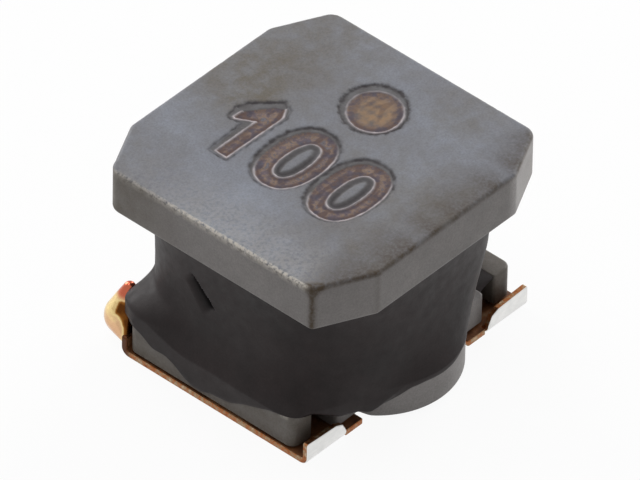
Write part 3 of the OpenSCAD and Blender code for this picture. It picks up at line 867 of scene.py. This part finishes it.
def around(angles, table):
    """Smooth value of a table of (angle, value) pairs around the whole turn."""
    places = np.array([row[0] for row in table], float)
    values = np.array([row[1] for row in table], float)
    fine = np.arange(-180, 180, 0.5)
    level = np.interp(fine, places, values, period=360)
    kernel = np.hanning(9)
    kernel /= kernel.sum()
    wrapped = np.concatenate([level[-8:], level, level[:8]])
    level = np.convolve(wrapped, kernel, "same")[8:-8]
    return np.interp(angles, fine, level, period=360)


def superellipse(angle, reach_x, reach_y, power):
    total = np.abs(np.cos(angle) / reach_x) ** power + np.abs(np.sin(angle) / reach_y) ** power
    return total ** (-1 / power)


def flange_reach(angle):
    """Distance from the axis to the side of the lower flange before its notches are cut."""
    plan = flange_outline(notched=False, spacing=0.02)
    turn = np.arctan2(plan[:, 1], plan[:, 0])
    order = np.argsort(turn)
    return np.interp(angle, turn[order], np.hypot(plan[:, 0], plan[:, 1])[order], period=2 * math.pi)


def taut_reach(angle):
    """Distance from the axis to a line drawn tight around the lower flange."""
    plan = flange_outline(notched=False)
    ways = np.linspace(-math.pi, math.pi, 720, endpoint=False)
    support = (plan @ np.array([np.cos(ways), np.sin(ways)])).max(0)
    facing = np.cos(angle[:, None] - ways)
    return np.where(facing > 0.3, support / np.maximum(facing, 0.3), 99).min(1)


def off_angle(degrees, at):
    return (degrees - at + 180) % 360 - 180


def resin_reach(angle, z, edge, flange, taut):
    """Distance from the axis to the resin's outer face."""
    degrees = np.degrees(angle)
    bare = sum(depth * bell(off_angle(degrees, at), width) for at, width, depth in BARE_CORNERS)
    lip = np.sqrt(np.clip(1 - (1 - np.clip((z - edge) / 0.07, 0, 1)) ** 2, 0, 1))
    lean = bell(off_angle(degrees, LEAN_AT), LEAN_WIDTH)
    more = bell(off_angle(degrees, MORE_AT), MORE_WIDTH)
    bridge = (BRIDGE + MORE_BRIDGE * more) * (1 - lean) * (taut - flange)
    bridge *= smooth(z, edge - 0.04, edge + 0.16 + 0.3 * (1 - more))
    foot = flange + FILM_T * lip + bridge - bare
    rise = np.clip((z - BASE_TOP) / (WINDOW_TOP - BASE_TOP), 0, 1)
    waist = superellipse(angle, CASE_X - WAIST_INSET, CASE_Y - WAIST_INSET, 2.8)
    head = superellipse(angle, CASE_X - HEAD_INSET, CASE_Y - HEAD_INSET, 3)
    low = np.maximum(1 - rise * 2, 0) ** 3
    high = np.maximum(rise * 2 - 1, 0) ** 2
    reach = waist + (foot - waist) * low + (head - waist) * high
    reach = reach - LEAN_DEPTH * lean * (1 - smooth(z, BASE_TOP, LEAN_TOP))
    for at, before, after, mound, shoulder, slope in LEAD_MOUNDS:
        off = off_angle(degrees, at)
        share = bell(off, np.where(off < 0, before, after))
        share = share * (1 - smooth(z, shoulder, shoulder + slope))
        reach = reach + np.maximum(mound - reach, 0) * share * smooth(z, edge - 0.03, edge + 0.16)
    return reach


def pit_depth(x, y, z):
    """Depth of the slanted pit in the -X side: steep on its -Y side and soft on the other."""
    y, z = y - PIT_AT[0], z - PIT_AT[1]
    across = (y - z) / math.sqrt(2)
    along = (y + z) / math.sqrt(2)
    ends = smooth(PIT_LENGTH / 2 - np.abs(along), 0, 0.16)
    wide = PIT_WIDTH * (1 - 0.25 * along / PIT_LENGTH)
    steep = smooth(across, -0.035, 0.0)
    profile = np.where(across < 0, steep, np.clip(1 - across / wide, 0, 1) ** 1.5)
    return PIT_DEPTH * ends * profile * (x < 0)


def resin_piece(material):
    """Resin between the flanges, with the film that has run over the lower flange's sides."""
    turns = np.linspace(-math.pi, math.pi, 640, endpoint=False)
    spoke = np.column_stack([np.cos(turns), np.sin(turns)])
    edge = around(np.degrees(turns), RESIN_EDGE)
    flange = flange_reach(turns)
    taut = taut_reach(turns)
    high = WINDOW_TOP + 0.02
    columns = []
    pits = []
    even = np.linspace(0, 0.6, 56, endpoint=False)
    dense = 1 - 0.4 * (1 - np.linspace(0, 1, 56)) ** 1.6
    for share in np.concatenate([even, dense]):
        z = high + (edge - high) * share
        reach = resin_reach(turns, z, edge, flange, taut)
        points = np.column_stack([spoke * reach[:, None], z])
        rough = 0.014 * wobble(points, 0.9, 11.0) + 0.004 * wobble(points, 0.25, 12.0)
        pit = pit_depth(*points.T)
        pits.append(pit)
        reach = reach + rough * smooth(z, edge, edge + 0.3) - pit
        x, y = (spoke * reach[:, None]).T
        x = np.clip(x, -CASE_X + 0.005, CASE_X - 0.005)
        columns.append(np.column_stack([x, np.clip(y, -CASE_Y, CASE_Y), z]))
    under = [(flange - 0.04, edge), (flange - 0.14, BASE_TOP - 0.01), (CAVITY_R, BASE_TOP - 0.01),
             (CAVITY_R, high)]
    for reach, z in under:
        columns.append(lift((spoke.T * reach).T, z))
        pits.append(np.zeros(len(turns)))
    shell = Shell()
    rings = [shell.ring(points) for points in columns]
    for above, below in zip(rings, rings[1:] + rings[:1]):
        shell.bridge(below, above)
    piece = shell.piece("resin_coating", "magnetic_resin", [material], sharp=60)
    # Painted shade in the pit, strongest where it is deepest
    add_attribute(piece, "pit", smooth(np.concatenate(pits), 0.0, 0.13))


# ---- Terminals ----
# Outer radius of the bends, the ends of the flat plate, and the lip beside the front tab
BEND_OUT = BEND_R + SHEET_T
PLATE_FRONT = -FRONT_OUT + BEND_OUT
PLATE_BACK = BACK_OUT - BEND_OUT
TIP_REACH = 0.13
RELIEF_W = 0.03
CUT_BEVEL = 0.014


def tab_run(height):
    """Length along the sheet from the plate's end to a height on its tab."""
    return BEND_OUT * math.pi / 2 + height - BEND_OUT


def fold(x, run, depth):
    """Place of a point of the flat sheet once folded, where run is its Y before folding."""
    ahead = PLATE_FRONT - run
    behind = run - PLATE_BACK
    past = max(ahead, behind)
    if past <= 0 or x < FRONT_TAB_IN - RELIEF_W / 2 and ahead > 0:
        return x, run, depth
    end, way = (PLATE_FRONT, -1) if ahead > 0 else (PLATE_BACK, 1)
    turn = min(past / BEND_OUT, math.pi / 2)
    straight = max(past - BEND_OUT * math.pi / 2, 0)
    arm = BEND_OUT - depth
    return x, end + way * arm * math.sin(turn), BEND_OUT - arm * math.cos(turn) + straight


def sheet_outline():
    """Outline of the stamped sheet before folding, anticlockwise from its inner front corner."""
    front, back = PLATE_FRONT, PLATE_BACK + 0.02
    slit = FRONT_TAB_IN - RELIEF_W
    back_end = PLATE_BACK + tab_run(BACK_TAB_H)
    corners = [(PLATE_IN, front - TIP_REACH, 0.04), (slit, front - TIP_REACH, 0.02),
               (slit, front - 0.02, 0.005), (FRONT_TAB_IN, front - 0.02, 0.005),
               (FRONT_TAB_IN, front - tab_run(0.19), 0.03),
               (FRONT_TAB_IN + 0.1, front - tab_run(0.38), 0.06),
               (FRONT_TAB_IN + 0.27, front - tab_run(0.455), 0.06),
               (PLATE_OUT, front - tab_run(FRONT_TAB_H), 0.04), (PLATE_OUT, back_end, 0.04),
               (BACK_TAB_IN, back_end, 0.04), (BACK_TAB_IN, back, 0.02), (PLATE_IN, back, 0.04)]
    return fillet_path(corners, 0.03)


def terminal_piece(side, node, tin, copper):
    """One clip terminal: a stamped sheet folded up at its two ends, with bare cut edges."""
    outline = sheet_outline()
    inner = inset(outline, CUT_BEVEL)
    count = len(inner)
    xs = np.arange(PLATE_IN + 0.04, PLATE_OUT - 0.02, 0.045)
    runs = np.arange(PLATE_FRONT - tab_run(FRONT_TAB_H), PLATE_BACK + tab_run(BACK_TAB_H), 0.03)
    grid = np.array([(x, run) for x in xs for run in runs])
    plan = [Vector(p) for p in np.vstack([inner, grid[distance_to(grid, inner) < -0.02]])]
    found = delaunay_2d_cdt(plan, [(k, (k + 1) % count) for k in range(count)], [], 1, 1e-7)
    faces = [[found[3][k][0] for k in face] for face in found[2]]
    shell = Shell()
    outer, inside = [shell.ring([fold(*p, depth) for p in plan]) for depth in (0.0, SHEET_T)]
    for sheet in (outer, inside):
        for face in faces:
            shell.face([sheet[k] for k in face])
    low = shell.ring([fold(*p, CUT_BEVEL) for p in outline])
    high = shell.ring([fold(*p, SHEET_T - CUT_BEVEL) for p in outline])
    shell.bridge(outer[:count], low)
    shell.bridge(low, high, 1)
    shell.bridge(high, inside[:count], 1)
    shell.points = [(side * x, y, z) for x, y, z in shell.points]
    piece = shell.piece(node, "tinned_copper", [tin, copper], sharp=35, outward=True)
    # Inner side of the sheet, for its flux brown and painted copper reflection
    flux_and_reflection_side = np.zeros(len(shell.points))
    flux_and_reflection_side[inside] = 1
    add_attribute(piece, "inside", flux_and_reflection_side)
    run = [y for _, y, _ in shell.points]
    add_attribute(piece, "scorched", smooth(run, PLATE_BACK - 0.1, BACK_OUT - 0.1))


# ---- Welds ----
# Balls that the bead is drawn tight around: x, y, z, radius
BEAD_BALLS = [(2.55, 2.47, 0.46, 0.38), (2.46, 2.42, 1.10, 0.12), (2.88, 2.16, 0.33, 0.1)]


def tight_reach(ways):
    """Reach from the first ball's centre, each way, of a skin drawn tight around the balls."""
    count = 1600
    step = np.arange(count) + 0.5
    rise = 1 - 2 * step / count
    turn = math.pi * (1 + math.sqrt(5)) * step
    flat = np.sqrt(1 - rise ** 2)
    normals = np.column_stack([flat * np.cos(turn), flat * np.sin(turn), rise])
    middle = np.array(BEAD_BALLS[0][:3])
    support = np.max([normals @ (np.array(centre) - middle) + radius
                      for *centre, radius in BEAD_BALLS], axis=0)
    facing = ways @ normals.T
    return np.where(facing > 0.15, support / np.maximum(facing, 0.15), 99).min(1)


def weld_piece(side, node, material):
    """Bead of re-melted metal, drawn up to the wire above it and down on to the back tab."""
    shell = Shell()
    rings, segments = 72, 108
    turns = np.linspace(0, 2 * math.pi, segments, endpoint=False)
    heights = np.sin(np.linspace(-math.pi / 2, math.pi / 2, rings + 1)[1:-1])
    ways = np.array([(math.sqrt(1 - h * h) * math.cos(t), math.sqrt(1 - h * h) * math.sin(t), h)
                     for h in heights for t in turns])
    reach = tight_reach(ways) * (0.985 + 0.02 * wobble(ways, 0.7, 20 + side))
    points = np.array(BEAD_BALLS[0][:3]) + ways * reach[:, None]
    points[:, 0] = np.minimum(points[:, 0], CASE_X - 0.01)
    points[:, 1] = np.minimum(points[:, 1], BEAD_BACK)
    points[:, 2] = np.maximum(points[:, 2], 0.03)
    mirror = np.array([side, 1, 1])
    index = shell.tower(np.split(points * mirror, rings - 1))
    for ring in (index[0], index[-1]):
        tip = np.mean([shell.points[k] for k in ring], axis=0)
        centre = shell.ring([tip])[0]
        for k in range(segments):
            shell.face([ring[k], ring[(k + 1) % segments], centre])
    piece = shell.piece(node, "weld_metal", [material], sharp=60, outward=True)
    place = np.array(shell.points) * mirror
    away = place - np.array(BEAD_BALLS[0][:3])
    away /= np.linalg.norm(away, axis=1)[:, None]
    # Painted dark reflection of the core, on the side of the bead that faces it
    dark_reflection_side = smooth(-away[:, 0], -0.86, -0.64) * smooth(-away[:, 1], 0.0, 0.2)
    dark_reflection_side *= 1 - smooth(place[:, 2], 0.85, 0.98)
    # Painted highlight high on the bead, peach lower down
    level = 0.8 - 0.32 * smooth(place[:, 2], 0.35, 0.7)
    add_attribute(piece, "painted_reflection", level * (1 - 0.92 * dark_reflection_side))
    add_attribute(piece, "red", smooth(place[:, 2], 0.9, 1.02))
    return piece


# ---- Stage ----
def direct_rays(nodes):
    """1 for camera, glossy and transmission rays, 0 for the rest."""
    rays = nodes.add("ShaderNodeLightPath").outputs
    either = nodes.math("MAXIMUM", rays["Is Camera Ray"], rays["Is Glossy Ray"])
    return nodes.math("MAXIMUM", either, rays["Is Transmission Ray"])


def blend(nodes, share, lit, pale):
    """Mixes the outputs of two shader nodes."""
    mixed = nodes.add("ShaderNodeMixShader")
    for socket, value in zip(mixed.inputs, (share, lit.outputs[0], pale.outputs[0])):
        nodes.feed(socket, value)
    return mixed.outputs[0]


def floor_piece():
    """Floor lit like white paper that shows as nearly plain white."""
    f = Finish("floor")
    f.set(Base_Color=(0.82, 0.82, 0.82, 1), Roughness=0.9)
    white = f.add("ShaderNodeEmission")
    f.give(white, Color=(1, 1, 1, 1))
    share = f.math("MULTIPLY", direct_rays(f), 0.93)
    f.give(f.tree.nodes["Material Output"], Surface=blend(f, share, f.shader, white))
    size = 1.5
    corners = [(-size, -size, 0), (size, -size, 0), (size, size, 0), (-size, size, 0)]
    mesh = bpy.data.meshes.new("floor")
    mesh.from_pydata(corners, [], [(0, 1, 2, 3)])
    mesh.materials.append(f.material)
    new_object("floor", mesh)


def set_world(level):
    """Plain surroundings: pale to the eye, and a soft even light."""
    world = bpy.data.worlds.new("studio")
    bpy.context.scene.world = world
    nodes = Nodes(world)
    lit = nodes.tree.nodes["Background"]
    nodes.give(lit, Color=(1, 1, 1, 1), Strength=level)
    pale = nodes.add("ShaderNodeBackground")
    nodes.give(pale, Color=(0.8, 0.8, 0.8, 1), Strength=1)
    mixed = blend(nodes, direct_rays(nodes), lit, pale)
    nodes.give(nodes.tree.nodes["World Output"], Surface=mixed)


def soft_light(name, azimuth, elevation, level, size=0.16, distance=0.3):
    """Square soft light, placed by its direction from the part; level is what it adds to white."""
    turn, rise = math.radians(azimuth), math.radians(elevation)
    way = Vector((math.cos(turn) * math.cos(rise), math.sin(turn) * math.cos(rise), math.sin(rise)))
    lamp = bpy.data.lights.new(name, "AREA")
    lamp.size = size
    lamp.energy = level * math.pi ** 2 * distance ** 2
    made = new_object(name, lamp)
    made.location = way * distance
    made.rotation_euler = way.to_track_quat("Z", "Y").to_euler()


# Camera: azimuth, elevation and roll in degrees, distance from the top face's centre, steps to its
# left and downwards, and lens
CAMERA_TURNS = (-48.684, 40.954, 1.122)
CAMERA_AWAY = 300
CAMERA_LEFT = 0.062
CAMERA_DOWN = 1.633
CAMERA_LENS = 940.45


def add_camera():
    """Camera at the photograph's angle."""
    azimuth, elevation, roll = (math.radians(v) for v in CAMERA_TURNS)
    right = Vector((math.cos(azimuth), math.sin(azimuth), 0))
    back = Vector((math.sin(azimuth) * math.cos(elevation), -math.cos(azimuth) * math.cos(elevation),
                   math.sin(elevation)))
    up = back.cross(right)
    across = right * math.cos(roll) + up * math.sin(roll)
    upward = up * math.cos(roll) - right * math.sin(roll)
    place = Vector((0, 0, TOP)) + back * CAMERA_AWAY - across * CAMERA_LEFT - upward * CAMERA_DOWN
    data = bpy.data.cameras.new("camera")
    data.lens = CAMERA_LENS
    data.clip_start = 0.01
    data.clip_end = 10
    made = new_object("camera", data)
    made.matrix_world = Matrix((across, upward, back)).transposed().to_4x4()
    made.location = place * MM
    bpy.context.scene.camera = made


# ---- Build ----
def give_finish(node, material):
    """A carried-over CAD node takes a material."""
    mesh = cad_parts[node].data
    mesh.materials.clear()
    mesh.materials.append(material)


def build():
    core_piece(ferrite_finish())
    resin_piece(resin_finish())
    give_finish("winding", wire_finish())
    tin = tin_finish()
    copper = cut_finish()
    metal = weld_finish()
    glue = glue_finish()
    ends = ((-1, "left"), (1, "right"))
    for side, end in ends:
        terminal_piece(side, "terminal_" + end, tin, copper)
    for side, end in ends:
        weld_piece(side, "weld_" + end, metal)
        give_finish("adhesive_" + end, glue)


add_camera()
build()
floor_piece()
set_world(0.36)
soft_light("top light", 100, 78, 0.3, 0.2)
soft_light("right light", 5, 22, 0.6, 0.16)
soft_light("left light", 85, 22, 0.6, 0.16)
bpy.context.scene.view_settings.view_transform = "Standard"
